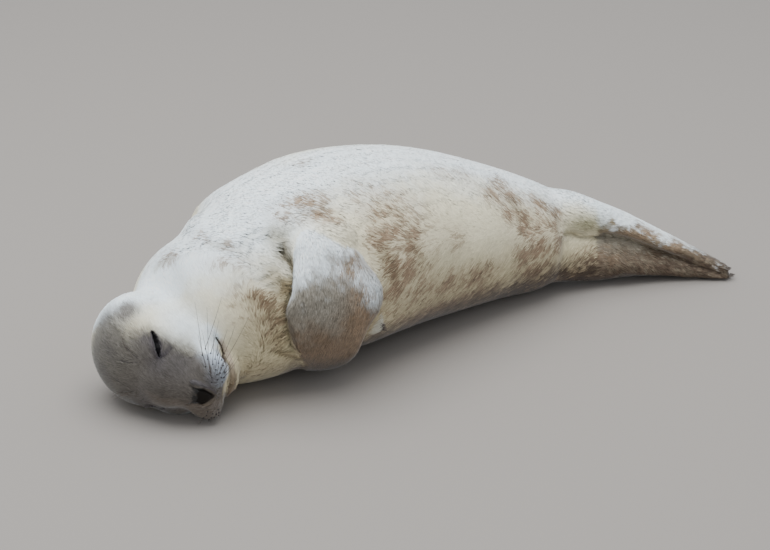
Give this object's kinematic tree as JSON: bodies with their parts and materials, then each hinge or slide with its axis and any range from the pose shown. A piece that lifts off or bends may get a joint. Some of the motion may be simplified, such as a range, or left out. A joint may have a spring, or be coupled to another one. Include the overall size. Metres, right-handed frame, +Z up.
{
  "type": "grey seal pup",
  "caption": "Grey seal pup in its pale woolly birth coat, asleep on its right side with eyes closed, foreflipper folded on the chest and hind flippers together.",
  "frame": {"origin": "bottom centre of the bounding box, on the floor the animal lies on", "axes": "+X from the head towards the hind flippers, +Y towards the back (the belly faces -Y), +Z up (the animal's left side)"},
  "size_m": [1.0298, 0.3778, 0.2817],
  "materials": {
    "coat": "pale cream birth coat, woolly and matt",
    "eye": "wet and dark, mostly behind the lids",
    "claw": "dark horn"
  },
  "bodies": {
    "root": {"head": "coat", "lower_jaw": "coat", "neck": "coat", "trunk": "coat", "hindquarters": "coat", "tail": "coat", "left_foreflipper": "coat", "right_foreflipper": "coat", "left_hindflipper": "coat", "right_hindflipper": "coat", "left_eye": "eye", "right_eye": "eye", "left_fore_claw_1": "claw", "left_fore_claw_2": "claw", "left_fore_claw_3": "claw", "left_fore_claw_4": "claw", "left_fore_claw_5": "claw", "left_hind_claw_1": "claw", "left_hind_claw_2": "claw", "left_hind_claw_3": "claw", "left_hind_claw_4": "claw", "left_hind_claw_5": "claw", "right_fore_claw_1": "claw", "right_fore_claw_2": "claw", "right_fore_claw_3": "claw", "right_fore_claw_4": "claw", "right_fore_claw_5": "claw", "right_hind_claw_1": "claw", "right_hind_claw_2": "claw", "right_hind_claw_3": "claw", "right_hind_claw_4": "claw", "right_hind_claw_5": "claw"}
  },
  "joints": []
}
